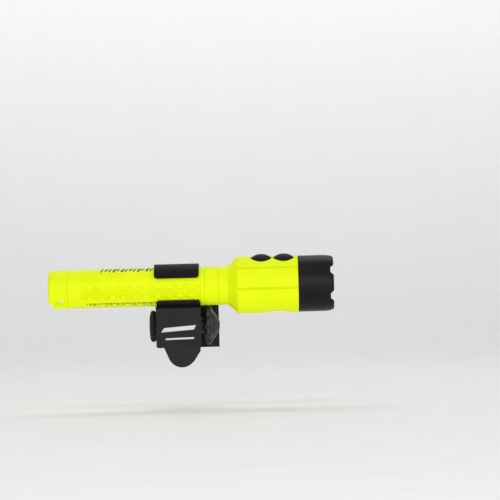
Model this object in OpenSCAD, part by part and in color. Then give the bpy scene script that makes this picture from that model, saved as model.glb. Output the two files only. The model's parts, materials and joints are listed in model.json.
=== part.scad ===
// Twin-beam firefighter flashlight in a clip mount for the side of a helmet.
// Millimetres. The origin lies on the helmet, near the middle of the mount's back face:
// +X runs along the light towards its bezel, -Y points away from the helmet, +Z is up.
// The light's own parts are drawn about its axis (local X), with the buttons on local +Z.

/* [Light] */
// Distance of the light's axis from the helmet face
axis_out = 24; // [23:0.5:26]
// Height of the light's axis above the origin
axis_up = 21; // [20.5:0.5:23]
// Roll of the light in its clip, which leans the buttons outwards
light_roll = 15; // [0:1:45]
// Radius of the handle tube
tube_r = 12.8; // [12.6:0.05:12.9]
// Radius of the head
head_r = 19; // [18.5:0.1:20]
// End face of the tail cap along X
tail_x = -91.4; // [-93:0.1:-91]
// Joint between tail cap and handle along X
tail_joint_x = -78.8; // [-79:0.1:-78.5]
// Front shoulder of the handle along X
shoulder_x = 12.2; // [12:0.1:12.4]
// Back edge of the head housing along X
head_x = 21.5; // [21.3:0.1:21.8]
// Start of the 45 degree flare along X
flare_x = 27.9; // [27:0.1:28.5]
// Joint between head and bezel along X
bezel_x = 74.4; // [74:0.1:74.8]
// Front rim of the bezel along X
rim_x = 98; // [97:0.1:99]
// Number of crown notches in the bezel
notch_count = 6; // [4:1:8]

/* [Controls] */
// Centre of the rear button along X
rear_button_x = 50.3; // [50:0.1:51]
// Centre of the front button along X
front_button_x = 65.2; // [65:0.1:65.6]
// Radius of a button
button_r = 6.5; // [6:0.1:6.7]
// Height of a button's crown above the head
button_crown = 1.5; // [1:0.1:2]
// Centre of the flood light along X
flood_x = 59.8; // [58:0.1:60]

/* [Batteries] */
// Radius of one AA cell
cell_r = 7.25; // [7.1:0.05:7.3]
// Length of one AA cell
cell_l = 50.5; // [50.3:0.1:50.5]

/* [Helmet mount] */
// Width of the base plate
base_w = 42; // [41:0.2:44]
// Height of the base plate
base_h = 37.6; // [34:0.2:38]
// Middle of the base plate along X
base_x = -0.1; // [-1:0.1:1]
// Height of the base plate's middle
base_z = -1.7; // [-2:0.1:0]
// Width of the clip's upper jaw
jaw_w = 29.8; // [28:0.2:31]
// Middle of the clip along X
clip_x = -6.1; // [-6.4:0.1:-5.8]
// Reach of the tilt axis from the helmet face
tilt_out = 17.9; // [17.8:0.1:18]
// Drop of the tilt axis below the origin
tilt_down = 5.3; // [5:0.1:5.5]
// Radius of the tilt knob
knob_r = 13.4; // [12:0.1:13.4]
// Number of lobes on the tilt knob
knob_lobes = 9; // [6:1:10]

/* [Hidden] */
$fn = 64;
eps = 0.05;      // overlap that makes neighbouring solids of one piece fuse
fit = 0.05;      // radial clearance of a shaft in its hole
gap = 0.3;       // clearance between moving faces

lime = [0.80, 0.95, 0.08];
black = [0.10, 0.10, 0.11];
rubber_black = [0.06, 0.06, 0.06];
steel = [0.70, 0.71, 0.73];
brass = [0.80, 0.65, 0.30];
board_green = [0.05, 0.30, 0.15];
clear = [0.85, 0.92, 0.95, 0.4];

// handle, spigots and seals
bore_r = 9.4;                          // battery bore of the handle
spigot_r = 11.2;                       // front spigot of the handle
spigot_end_x = 30.2;
plug_r = 10.8;                         // threaded plug of the tail cap
plug_end_x = -68.5;
tail_well_r = 10.9;                    // counterbore that takes the plug
tail_well_end_x = -66.5;
cap_well_r = 8.6;                      // inside of the tail cap's plug
cap_floor_x = -79.9;
ring_groove = 0.2;                     // width of the fine joint lines

// grip panels
grip_depth = 0.45;
grip_from_x = -69.4;
grip_to_x = 10.1;
grip_half = 19;                        // degrees to either side of a panel's middle line

// head
flare_end_x = flare_x + head_r - tube_r;
cavity_r = 16.4;
cavity_from_x = 37;
bezel_spigot_r = 16.8;
bezel_spigot_bore = 15.2;
bezel_spigot_end_x = 84;
rib_angles = [37.5, 82.5, -37.5, -82.5];
button_hole_r = 6.9;
flood_dish_r = 11.4;                   // shallow dish around the flood lens
flood_dish_z = -15.5;
flood_hole_r = 6.6;

// bezel and optics
bezel_r = 18.7;
notch_angle = 44;
notch_w = 8.2;
notch_deep = 2.25;
lens_r = 16.2;
lens_from_x = 92.05;
lens_to_x = 94.2;
led_x = 80.1;
focal = 3.74;                          // focal length of the reflector
dish_r = 15;                           // mouth radius of the reflector
dish_from_x = 78.75;
dish_steps = 14;

// batteries
cell_nub_r = 2.75;
cell_nub_l = 1.3;
cells_from_x = -75.5;
carrier_r = 9;
carrier_from_x = -68.2;
carrier_to_x = cells_from_x + 3 * cell_l + 1.1;

// mount
pad_t = 1;
base_t = 2.6;
base_front = pad_t + base_t;
washer_t = 0.7;
yoke_back = base_front + washer_t + 0.1;
yoke_t = 2.6;
bolt_r = 2.5;
barrel_r = 6.3;
ear_r = 6.5;
barrel_from = clip_x - 8.9;
barrel_to = clip_x + 9.1;
ear_t = 3.8;
nut_from = -25.2;
nut_rim_to = -20.8;                    // the lobes stay clear of the lever's plate
nut_to = -19.2;
nut_r = 10.9;
nut_lobes = 9;
knob_from = 10.9;
knob_to = 21.6;
liner_in_r = tube_r + gap;
liner_out_r = 13.9;
jaw_r = 15.2;
jaw_lip = 24;                          // degrees above the outward direction
jaw_heel = -95;                        // end of the fixed cradle, past the bottom
lever_pin_y = -28;
lever_pin_z = -1;
lever_pin_r = 1.5;
lever_t = 2.4;
lever_from = -20.4;
lever_to = 9.4;
lever_y = -36;                         // outer face of the lever's flat plate
fold_z = -18.6;                        // where the plate ends and the thumb tongue begins

// ---------------------------------------------------------------- helpers

// places a part drawn about the light's own axis
module in_light() {
    translate([0, -axis_out, axis_up])
        rotate([light_roll, 0, 0])
            children();
}

// revolves an outline of [radius, x] points about the X axis
module turned(points) {
    rotate([0, 90, 0])
        rotate_extrude()
            polygon([for (p = points) [p[0], p[1]]]);
}

// a plain cylinder along X between two stations
module rod(r, from, to) {
    translate([from, 0, 0])
        rotate([0, 90, 0])
            cylinder(r = r, h = to - from);
}

// a flat ring along X
module ring(r_in, r_out, from, to) {
    difference() {
        rod(r_out, from, to);
        rod(r_in, from - 1, to + 1);
    }
}

// a round-section ring about X
module o_ring(r, section_r, x) {
    translate([x, 0, 0])
        rotate([0, 90, 0])
            rotate_extrude()
                translate([r, 0])
                    circle(r = section_r, $fn = 24);
}

// a point at an angle above the outward (-Y) direction, in the [y, z] plane
function out_point(angle, r) = [-r * cos(angle), r * sin(angle)];

// extrudes a [y, z] outline along X
module along_x(from, to) {
    translate([from, 0, 0])
        rotate([90, 0, 90])
            linear_extrude(height = to - from)
                children();
}

// a sector about the light's axis, between two angles above the outward direction
module sector(angle_from, angle_to, reach = 30, steps = 6) {
    polygon(concat([[0, 0]], [for (i = [0:steps])
        out_point(angle_from + (angle_to - angle_from) * i / steps, reach)]));
}

// a cylinder along Y, with its centre given in X and Z and its ends as distances outwards
module peg(r, x, z, from, to) {
    translate([x, -from, z])
        rotate([90, 0, 0])
            cylinder(r = r, h = to - from);
}

// a box given by its lowest and highest corners
module block(low, high) {
    translate(low)
        cube(high - low);
}

// ---------------------------------------------------------------- light: handle

module handle_tube() {
    color(lime) in_light() difference() {
        turned([
            [tail_well_r, tail_joint_x + ring_groove], [tube_r - 0.3, tail_joint_x + ring_groove],
            [tube_r, tail_joint_x + ring_groove + 0.3], [tube_r, shoulder_x - 0.2],
            [tube_r - 0.2, shoulder_x], [spigot_r, shoulder_x], [spigot_r, spigot_end_x],
            [bore_r, spigot_end_x], [bore_r, tail_well_end_x], [tail_well_r, tail_well_end_x]
        ]);
        ring(10.1, spigot_r + 1, 25, 26.8);
        for (side = [-1, 1])
            grip_recess(side);
    }
}

// a shallow panel on one side of the handle, a quarter turn from the buttons
module grip_recess(side) {
    middle = side > 0 ? 0 : 180;
    intersection() {
        ring(tube_r - grip_depth, tube_r + 1, grip_from_x, grip_to_x);
        along_x(grip_from_x, grip_to_x)
            sector(middle - grip_half, middle + grip_half);
    }
}

module neck_collar() {
    color(lime) in_light()
        ring(spigot_r + fit, tube_r, shoulder_x + gap, head_x - ring_groove);
}

module neck_o_ring() {
    color(rubber_black) in_light()
        o_ring(10.65, 0.5, 25.9);
}

// ---------------------------------------------------------------- light: head

module head_housing() {
    button_xs = [rear_button_x, front_button_x];
    color(lime) in_light() difference() {
        union() {
            turned([
                [spigot_r + fit, head_x], [tube_r, head_x], [tube_r, flare_x],
                [head_r, flare_end_x], [head_r, bezel_x - 0.3], [head_r - 0.3, bezel_x],
                [bezel_spigot_r, bezel_x], [bezel_spigot_r, bezel_spigot_end_x],
                [bezel_spigot_bore, bezel_spigot_end_x], [bezel_spigot_bore, bezel_x],
                [cavity_r, bezel_x - 1.2], [cavity_r, cavity_from_x],
                [spigot_r + fit, cavity_from_x - 4], [spigot_r + fit, head_x]
            ]);
            flood_boss();
        }
        for (x = button_xs)
            translate([x, 0, 12])
                cylinder(r = button_hole_r, h = 10);
        translate([flood_x, 0, flood_dish_z - 4])
            cylinder(r1 = flood_dish_r + 0.8, r2 = flood_dish_r, h = 4);
        translate([flood_x, 0, flood_dish_z - 1])
            cylinder(r = flood_hole_r, h = 6);
        for (a = rib_angles)
            rotate([a, 0, 0])
                translate([flare_end_x - 0.6, 0, head_r + 0.35])
                    rotate([0, 90, 0])
                        cylinder(r = 0.95, h = bezel_x - flare_end_x + 2);
        ring(15.9, bezel_spigot_r + 1, 76.2, 77.8);
    }
}

// the floor of the flood lamp's dish and the inner collar that holds its lens
module flood_boss() {
    floor_t = 1.6;
    collar_h = 3.9;
    intersection() {
        union() {
            translate([flood_x, 0, flood_dish_z - 2])
                cylinder(r = flood_dish_r + 1.4, h = 2 + floor_t);
            translate([flood_x, 0, flood_dish_z])
                cylinder(r = flood_hole_r + 1.6, h = collar_h);
        }
        rod(head_r - 1, cavity_from_x, bezel_x);
    }
}

module bezel() {
    color(black) in_light() difference() {
        turned([
            [bezel_spigot_r + fit, bezel_x + ring_groove], [bezel_r, bezel_x + ring_groove],
            [bezel_r, rim_x - 6], [bezel_r - 0.35, rim_x - 1.2], [bezel_r - 1.1, rim_x],
            [17.2, rim_x], [15.2, lens_to_x + 0.4], [15.2, lens_to_x + 0.1],
            [lens_r + 0.1, lens_to_x + 0.1], [lens_r + 0.1, bezel_spigot_end_x + 0.6],
            [bezel_spigot_r + fit, bezel_spigot_end_x + 0.6]
        ]);
        for (i = [0:notch_count - 1])
            rotate([notch_angle + i * 360 / notch_count, 0, 0])
                crown_notch();
    }
}

// one trapezoid cut through the bezel's rim
module crown_notch() {
    half = notch_w / 2;
    translate([rim_x, 0, 14])
        linear_extrude(height = 8)
            polygon([[1, -half - 1], [1, half + 1], [-notch_deep, half - notch_deep],
                [-notch_deep, notch_deep - half]]);
}

module bezel_o_ring() {
    color(rubber_black) in_light()
        o_ring(16.35, 0.42, 77);
}

module lens() {
    color(clear) in_light()
        rod(lens_r, lens_from_x, lens_to_x);
}

module lens_gasket() {
    color(rubber_black) in_light()
        ring(15.3, lens_r, lens_from_x - 0.6, lens_from_x);
}

function dish(x) = sqrt(4 * focal * (x - led_x + focal));

module reflector() {
    mouth_x = led_x - focal + dish_r * dish_r / (4 * focal);
    stations = [for (i = [0:dish_steps]) dish_from_x + (mouth_x - dish_from_x) * i / dish_steps];
    inside = [for (x = stations) [dish(x), x]];
    outside = [for (i = [dish_steps:-1:0]) [dish(stations[i]) + 1, stations[i]]];
    color(steel) in_light() {
        turned(concat(inside, outside));
        ring(dish_r, lens_r, mouth_x - 0.9, mouth_x);
    }
}

module main_led() {
    color([0.95, 0.9, 0.5]) in_light() {
        block([led_x - 0.5, -1.7, -1.7], [led_x, 1.7, 1.7]);
        translate([led_x - eps, 0, 0]) intersection() {
            sphere(r = 1.5);
            rod(2, 0, 2);
        }
    }
}

module led_board() {
    color(board_green) in_light()
        rod(5.2, led_x - 1.5, led_x - 0.5);
}

module heat_sink() {
    color(steel) in_light()
        rod(14.8, led_x - 2.9, led_x - 1.5);
}

// ---------------------------------------------------------------- light: batteries

module battery_carrier() {
    front = carrier_to_x - 1;
    color(black) in_light() difference() {
        rod(carrier_r, carrier_from_x, carrier_to_x);
        rod(cell_r + 0.25, carrier_from_x - 1, front);
        rod(2.9, front - 1, carrier_to_x + 1);
        block([carrier_from_x + 5, -5.5, 0], [front - 5, 5.5, carrier_r + 1]);
    }
}

// one AA cell; index 0 is nearest the tail
module aa_cell(index) {
    from = cells_from_x + index * cell_l;
    color(index % 2 == 0 ? "DimGray" : "SlateGray") in_light()
        turned([[0, from], [cell_r - 0.5, from], [cell_r, from + 0.5],
            [cell_r, from + cell_l - cell_nub_l - 0.5], [cell_r - 0.5, from + cell_l - cell_nub_l],
            [cell_nub_r, from + cell_l - cell_nub_l], [cell_nub_r, from + cell_l],
            [0, from + cell_l]]);
}

module aa_cell_rear() aa_cell(0);
module aa_cell_middle() aa_cell(1);
module aa_cell_front() aa_cell(2);

module front_contact() {
    color(brass) in_light()
        rod(2.8, carrier_to_x - 1.05, carrier_to_x);
}

// ---------------------------------------------------------------- light: controls

module control_board() {
    color(board_green) in_light()
        block([42, -9, 10.6], [73, 9, 12.2]);
}

module button_switches() {
    color(steel) in_light()
        for (x = [rear_button_x, front_button_x]) {
            block([x - 3, -3, 12.2], [x + 3, 3, 14]);
            translate([x, 0, 14 - eps])
                cylinder(r = 1.7, h = 0.6 + eps);
        }
}

// a rubber button with a crowned top and a stem over its switch
module button(x) {
    rim_z = head_r - 1.1;
    crown_h = head_r + button_crown - rim_z;
    ball_r = (button_r * button_r + crown_h * crown_h) / (2 * crown_h);
    color(rubber_black) in_light() translate([x, 0, 0]) {
        translate([0, 0, 16.6])
            cylinder(r = button_r, h = rim_z - 16.6);
        translate([0, 0, 15.9])
            cylinder(r = 2.5, h = 1);
        intersection() {
            translate([0, 0, rim_z + crown_h - ball_r])
                sphere(r = ball_r);
            translate([0, 0, rim_z - eps])
                cylinder(r = button_r, h = crown_h + 1);
        }
    }
}

module button_rear() button(rear_button_x);
module button_front() button(front_button_x);

module flood_lens() {
    color(clear) in_light() translate([flood_x, 0, flood_dish_z + 0.2])
        cylinder(r = flood_hole_r - 0.1, h = 1.8);
}

module flood_gasket() {
    color(rubber_black) in_light() translate([flood_x, 0, flood_dish_z + 2])
        difference() {
            cylinder(r = flood_hole_r - 0.1, h = 0.8);
            translate([0, 0, -1])
                cylinder(r = 5.5, h = 3);
        }
}

module flood_led() {
    color([0.95, 0.9, 0.5]) in_light() translate([flood_x, 0, flood_dish_z])
        block([-1.7, -1.7, 3.3], [1.7, 1.7, 4]);
}

module flood_board() {
    color(board_green) in_light() translate([flood_x, 0, flood_dish_z + 4])
        cylinder(r = 7.5, h = 1);
}

// ---------------------------------------------------------------- light: tail

module tail_cap() {
    hole_x = -83.5;
    hole_z = -8.9;
    web = 2.5;
    scoop_r = 5.5;
    color(lime) in_light() difference() {
        turned([
            [0, tail_x], [tube_r - 1.6, tail_x], [tube_r - 0.9, tail_x + 0.3],
            [tube_r - 0.3, tail_x + 0.9], [tube_r, tail_x + 1.8], [tube_r, tail_joint_x - 0.3],
            [tube_r - 0.3, tail_joint_x], [plug_r, tail_joint_x], [plug_r, plug_end_x - 0.5],
            [plug_r - 0.5, plug_end_x], [cap_well_r, plug_end_x], [cap_well_r, cap_floor_x],
            [0, cap_floor_x]
        ]);
        ring(9.5, plug_r + 1, -77.8, -76);
        block([tail_x - 1, -15, -15], [tail_x + 2.8, 15, -8]);
        for (side = [-1, 1])
            translate([hole_x, side * (web + scoop_r), hole_z])
                sphere(r = scoop_r);
        translate([hole_x, 10, hole_z])
            rotate([90, 0, 0])
                cylinder(r = 1.5, h = 20);
    }
}

module tail_o_ring() {
    color(rubber_black) in_light()
        o_ring(10.2, 0.55, -76.9);
}

module tail_contact() {
    color(brass) in_light()
        rod(6, cap_floor_x, cap_floor_x + 0.4);
}

// the conical battery spring, drawn as its turns
module tail_spring() {
    turns = 4;
    wire_r = 0.35;
    from = cap_floor_x + 0.4 + wire_r;
    to = cells_from_x - wire_r;
    color(steel) in_light()
        for (i = [0:turns - 1])
            o_ring(5.4 - i * 0.75, wire_r, from + (to - from) * i / (turns - 1));
}

// ---------------------------------------------------------------- mount: base and swivel

module helmet_pad() {
    half = [base_w / 2 - 0.8, base_h / 2 - 0.8];
    color(rubber_black) translate([base_x, 0, base_z])
        block([-half[0], -pad_t, -half[1]], [half[0], 0, half[1]]);
}

module helmet_base() {
    top = base_z - base_h / 2 + 1;
    blade = [[-13, top], [8, top], [8, -23], [3.5, -30], [-8, -30], [-13, -23]];
    color(black) difference() {
        union() {
            translate([base_x, 0, base_z])
                block([-base_w / 2, -base_front, -base_h / 2], [base_w / 2, -pad_t, base_h / 2]);
            translate([0, -pad_t, 0])
                rotate([90, 0, 0])
                    linear_extrude(height = base_t)
                        polygon(blade);
            block([-7, -pad_t - eps, -27], [2.5, -pad_t + 0.6, -25]);
        }
        peg(5.3, clip_x, -tilt_down, 0, pad_t + 1.4);
        peg(3 + fit, clip_x, -tilt_down, 0, base_front + 1);
    }
}

module swivel_screw() {
    color(steel) difference() {
        union() {
            peg(5, clip_x, -tilt_down, pad_t + 0.05, pad_t + 1.3);
            peg(3, clip_x, -tilt_down, pad_t + 1.2, yoke_back + yoke_t);
        }
        peg(1.5, clip_x, -tilt_down, 0, pad_t + 0.9, $fn = 6);
    }
}

module swivel_washer() {
    color(steel) difference() {
        peg(9, clip_x, -tilt_down, base_front + 0.05, base_front + 0.05 + washer_t);
        peg(3 + fit, clip_x, -tilt_down, 0, 10);
    }
}

module yoke() {
    ears = [[barrel_from - 0.2 - ear_t, barrel_from - 0.2], [barrel_to + 0.2, barrel_to + 0.2 + ear_t]];
    color(black) difference() {
        union() {
            peg(10.5, clip_x, -tilt_down, yoke_back, yoke_back + yoke_t);
            block([ears[0][0], -yoke_back - yoke_t, -tilt_down - ear_r],
                [ears[1][1], -yoke_back, -tilt_down + ear_r]);
            for (ear = ears) {
                block([ear[0], -tilt_out, -tilt_down - ear_r], [ear[1], -yoke_back, -tilt_down + ear_r]);
                at_tilt() rod(ear_r, ear[0], ear[1]);
            }
        }
        at_tilt() rod(bolt_r + fit, -40, 40);
        peg(3 + fit, clip_x, -tilt_down, 0, yoke_back + yoke_t + 1);
    }
}

// ---------------------------------------------------------------- mount: tilt joint

module at_tilt() {
    translate([0, -tilt_out, -tilt_down])
        children();
}

module tilt_bolt() {
    color(steel) at_tilt()
        rod(bolt_r, nut_from + 1.4, knob_to - 3);
}

module tilt_nut() {
    core_r = nut_r - 1.4;
    color(black) at_tilt() difference() {
        union() {
            rod(core_r - 3.6, nut_from, nut_rim_to - 0.5);
            rod(core_r, nut_from + 0.9, nut_rim_to);
            rod(5, nut_rim_to - 1, nut_to);
            for (i = [0:nut_lobes - 1])
                rotate([i * 360 / nut_lobes, 0, 0])
                    translate([0, 0, nut_r - 2.2])
                        rod(2.2, nut_from + 0.6, nut_rim_to - 0.3);
        }
        rod(bolt_r, nut_from + 1.3, nut_to + 1);
    }
}

module tilt_washer() {
    color(steel) at_tilt()
        ring(bolt_r + fit, 4.6, barrel_to + 0.2 + ear_t, barrel_to + ear_t + 1);
}

// a domed hand knob with scalloped lobes
module tilt_knob() {
    scallop_r = 2.3;
    hub_from = barrel_to + 0.2 + ear_t + 0.85;
    color(black) at_tilt() difference() {
        union() {
            turned([
                [0, knob_from], [6, knob_from], [10, knob_from + 0.5], [knob_r - 0.8, knob_from + 1.5],
                [knob_r, knob_from + 2.3], [knob_r, knob_from + 4.1], [knob_r - 0.8, knob_from + 5],
                [10, knob_to - 4], [7.5, knob_to - 1.8], [4.5, knob_to - 0.3], [3, knob_to], [0, knob_to]
            ]);
            rod(5.2, hub_from, knob_from + 1);
        }
        for (i = [0:knob_lobes - 1])
            rotate([i * 360 / knob_lobes, 0, 0])
                translate([0, 0, knob_r + 0.7])
                    rod(scallop_r, knob_from - 1, knob_to + 1);
        rod(bolt_r + fit, hub_from - 1, knob_to - 2.9);
    }
}

// ---------------------------------------------------------------- mount: clip

// the [y, z] plane with its origin on the light's axis
module about_light() {
    translate([-axis_out, axis_up])
        children();
}

module clip_body() {
    jaw_from = clip_x - jaw_w / 2;
    jaw_to = clip_x + jaw_w / 2;
    arm = [[5.8 - tilt_out, -2.8], [-13.2, 10.2], [-23.4, 6.4], [-24.4, 2.6], [-28, 2], [-28, -4],
        [-4.4 - tilt_out, -9.9], [-tilt_out, -tilt_down]];
    coil_from = clip_x - 3.6;
    coil_to = clip_x + 3.6;
    color(black) difference() {
        union() {
            along_x(jaw_from, jaw_to) about_light() intersection() {
                circle(r = jaw_r);
                sector(jaw_lip, 360 + jaw_heel, 40, 10);
            }
            along_x(barrel_from, barrel_to)
                polygon(arm);
            at_tilt() rod(barrel_r, barrel_from, barrel_to);
            translate([0, lever_pin_y, lever_pin_z])
                rod(3, barrel_from, barrel_to);
        }
        translate([0, -axis_out, axis_up])
            rod(liner_out_r, -40, 40);
        at_tilt() rod(bolt_r + fit, -40, 40);
        translate([0, lever_pin_y, lever_pin_z]) {
            rod(lever_pin_r + fit, -40, 40);
            rod(4, coil_from, coil_to);
        }
        for (x = [jaw_from, jaw_to])
            jaw_corner(x, x < clip_x ? 1 : -1);
    }
}

// rounds one lower corner of the upper jaw's lip
module jaw_corner(x, inward) {
    r = 2;
    lip_z = axis_up + jaw_r * sin(jaw_lip);
    difference() {
        block([min(x, x + inward * r) - (inward > 0 ? 1 : 0), -60, lip_z - 2],
            [max(x, x + inward * r) + (inward > 0 ? 0 : 1), -axis_out - 8, lip_z + r]);
        translate([x + inward * r, -axis_out, lip_z + r - 0.25])
            rotate([90, 0, 0])
                cylinder(r = r, h = 60);
    }
}

module clip_liner() {
    color(rubber_black)
        along_x(clip_x - jaw_w / 2 + 1, clip_x + jaw_w / 2 - 1) about_light() difference() {
            intersection() {
                circle(r = liner_out_r);
                sector(jaw_lip + 3, 360 + jaw_heel - 2, 40, 10);
            }
            circle(r = liner_in_r);
        }
}

// ---------------------------------------------------------------- mount: lever

module lever() {
    jaw_bottom = -84;
    jaw_top = -38.8;
    plate = [[-30.6, 7.9], [-34.6, 7.1], [lever_y, -0.6], [lever_y, fold_z],
        [lever_y + lever_t, fold_z], [lever_y + lever_t, -1.35], [-28.35, 5.9], [-27, 6.9]];
    lug = [[lever_pin_y, 2], [lever_y + 1, 0.4], [lever_y + 1, -7], [lever_pin_y, -4]];
    lugs = [[clip_x - 12.5, clip_x - 9.3], [clip_x + 9.5, clip_x + 12.7]];
    color(black) difference() {
        union() {
            along_x(lever_from + 0.5, lever_to) about_light() difference() {
                intersection() {
                    circle(r = jaw_r);
                    sector(jaw_bottom, jaw_top);
                }
                circle(r = liner_out_r);
            }
            along_x(lever_from, lever_to)
                polygon(plate);
            for (span = lugs) {
                along_x(span[0], span[1])
                    polygon(lug);
                translate([0, lever_pin_y, lever_pin_z])
                    rod(3, span[0], span[1]);
            }
            thumb_tongue();
        }
        translate([0, lever_pin_y, lever_pin_z])
            rod(lever_pin_r + fit, -40, 40);
    }
}

// the tapering tongue below the plate, with a round end
module thumb_tongue() {
    lean = 4;
    end_r = 9.4;
    end_x = -3.6;
    end_z = -4.4;
    translate([0, lever_y + lever_t, fold_z])
        rotate([-lean, 0, 0])
            rotate([90, 0, 0])
                linear_extrude(height = lever_t)
                    hull() {
                        translate([-15.7, -0.1])
                            square([24.6, 0.3]);
                        translate([end_x, end_z])
                            circle(r = end_r);
                    }
}

module lever_liner() {
    color(rubber_black)
        along_x(lever_from + 1.4, lever_to - 0.9) about_light() difference() {
            intersection() {
                circle(r = liner_out_r);
                sector(-82, -41);
            }
            circle(r = liner_in_r);
        }
}

module lever_pin() {
    color(steel) translate([0, lever_pin_y, lever_pin_z])
        rod(lever_pin_r, clip_x - 12.7, clip_x + 12.9);
}

// the torsion spring's coils about the pin, drawn as separate turns
module lever_spring() {
    turns = 5;
    wire_r = 0.5;
    pitch = 1.25;
    color(steel) translate([0, lever_pin_y, lever_pin_z])
        for (i = [0:turns - 1])
            o_ring(2.6, wire_r, clip_x + (i - (turns - 1) / 2) * pitch);
}

// ---------------------------------------------------------------- the object

handle_tube();
neck_collar();
neck_o_ring();
head_housing();
bezel();
bezel_o_ring();
lens();
lens_gasket();
reflector();
main_led();
led_board();
heat_sink();
battery_carrier();
aa_cell_rear();
aa_cell_middle();
aa_cell_front();
front_contact();
control_board();
button_switches();
button_rear();
button_front();
flood_lens();
flood_gasket();
flood_led();
flood_board();
tail_cap();
tail_o_ring();
tail_spring();
tail_contact();
helmet_pad();
helmet_base();
swivel_screw();
swivel_washer();
yoke();
tilt_bolt();
tilt_nut();
tilt_washer();
tilt_knob();
clip_body();
clip_liner();
lever();
lever_liner();
lever_pin();
lever_spring();
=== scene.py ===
"""Looks for a twin-beam firefighter flashlight in a helmet clip mount.

Shapes are built in millimetres and turned into metres by solid(). The light's own parts are
built about its axis (local X); an angle of 0 is the buttons' side and a quarter turn faces the
camera. Stations come from the CAD nodes' boxes.
"""
import json
import math

import bmesh
import bpy
import numpy as np
from mathutils import Matrix, Vector


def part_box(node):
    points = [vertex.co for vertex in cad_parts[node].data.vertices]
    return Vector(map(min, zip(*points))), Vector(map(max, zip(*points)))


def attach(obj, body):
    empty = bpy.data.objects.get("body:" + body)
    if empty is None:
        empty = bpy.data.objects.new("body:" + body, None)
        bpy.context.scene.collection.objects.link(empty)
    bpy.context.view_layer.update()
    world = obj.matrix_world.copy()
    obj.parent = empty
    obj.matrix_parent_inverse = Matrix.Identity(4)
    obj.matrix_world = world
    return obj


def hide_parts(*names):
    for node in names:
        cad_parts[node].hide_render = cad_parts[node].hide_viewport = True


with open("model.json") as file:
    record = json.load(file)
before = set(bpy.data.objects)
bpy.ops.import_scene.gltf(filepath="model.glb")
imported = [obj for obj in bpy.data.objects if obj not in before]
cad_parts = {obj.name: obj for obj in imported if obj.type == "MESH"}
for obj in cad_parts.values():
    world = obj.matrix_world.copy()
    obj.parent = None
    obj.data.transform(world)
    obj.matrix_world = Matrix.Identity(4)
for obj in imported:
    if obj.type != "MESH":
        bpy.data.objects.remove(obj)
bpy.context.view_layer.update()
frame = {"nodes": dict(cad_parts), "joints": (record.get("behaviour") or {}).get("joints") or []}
MM = 0.001
JOINTS = {j["name"]: j for j in frame["joints"]}
AXIS = Vector(JOINTS["light_roll"]["pos_m"])
PRESS = Vector(JOINTS["rear_button_press"]["axis"])
ROLL = math.atan2(PRESS.y, -PRESS.z)
LIGHT = Matrix.Translation(AXIS) @ Matrix.Rotation(ROLL, 4, "X")
WORLD = Matrix.Identity(4)


# ------------------------------------------------------------------ places from the CAD

def along(node):
    """First and last station of a node along X, in mm."""
    low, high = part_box(node)
    return low.x / MM, high.x / MM


def girth(node):
    """Outer radius of a round node of the light, in mm."""
    low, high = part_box(node)
    return (high.z - low.z) / 2 / MM


def in_light(node):
    """A node's box about the light's own axis, in mm, as two corners."""
    inverse = LIGHT.inverted()
    points = np.array([inverse @ v.co for v in frame["nodes"][node].data.vertices]) / MM
    return points.min(0), points.max(0)


# ------------------------------------------------------------------ mesh helpers

def solid(name, verts, faces, place=WORLD, sharp=40):
    """A mesh object from vertices in mm, with outward normals and smooth shading."""
    mesh = bpy.data.meshes.new(name)
    mesh.from_pydata([tuple(v) for v in np.asarray(verts) * MM], [], faces)
    bm = bmesh.new()
    bm.from_mesh(mesh)
    bmesh.ops.remove_doubles(bm, verts=bm.verts, dist=1e-7)
    bmesh.ops.recalc_face_normals(bm, faces=bm.faces)
    bm.to_mesh(mesh)
    bm.free()
    return finished(name, mesh, place, sharp)


def finished(name, mesh, place=WORLD, sharp=40):
    """Links a mesh whose vertices are in metres, placed and shaded."""
    mesh.transform(place)
    mesh.polygons.foreach_set("use_smooth", [True] * len(mesh.polygons))
    mesh.set_sharp_from_angle(angle=math.radians(sharp))
    piece = bpy.data.objects.new(name, mesh)
    bpy.context.scene.collection.objects.link(piece)
    return piece


def rounded(points, radius, steps=4):
    """An outline with each corner turned into an arc; a point may carry its own radius."""
    result = []
    count = len(points)
    for i, point in enumerate(points):
        size = point[2] if len(point) > 2 else radius
        here = np.array(point[:2], float)
        back = np.array(points[i - 1][:2], float) - here
        ahead = np.array(points[(i + 1) % count][:2], float) - here
        reach_back, reach_ahead = np.linalg.norm(back), np.linalg.norm(ahead)
        turn = abs(math.pi - math.acos(np.clip(back @ ahead / reach_back / reach_ahead, -1, 1)))
        cut = min(size * math.tan(turn / 2), 0.48 * reach_back, 0.48 * reach_ahead)
        if cut < 1e-3:
            result.append(tuple(here))
            continue
        first, last = here + back / reach_back * cut, here + ahead / reach_ahead * cut
        for t in np.linspace(0, 1, steps + 1):
            result.append(tuple((1 - t) ** 2 * first + 2 * t * (1 - t) * here + t ** 2 * last))
    return result


def divided(points, step):
    """A closed outline with no edge longer than step."""
    result = []
    for here, ahead in zip(points, points[1:] + points[:1]):
        count = max(1, math.ceil(math.dist(here, ahead) / step))
        for i in range(count):
            t = i / count
            result.append((here[0] + (ahead[0] - here[0]) * t, here[1] + (ahead[1] - here[1]) * t))
    return result


def lathe(name, profile, place=LIGHT, around=192, warp=None, sharp=40):
    """Revolves a closed outline of (x, radius) points; warp moves the grid before it is built."""
    points = np.array(profile, float)
    angles = np.linspace(0, 2 * math.pi, around, endpoint=False)
    x, a = np.meshgrid(points[:, 0], angles, indexing="ij")
    r = np.repeat(points[:, 1][:, None], around, axis=1)
    if warp:
        x, r = warp(x, r, a)
    verts = np.stack([x, -r * np.sin(a), r * np.cos(a)], axis=2).reshape(-1, 3)
    return solid(name, verts, grid_faces(len(points), around), place, sharp)


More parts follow.
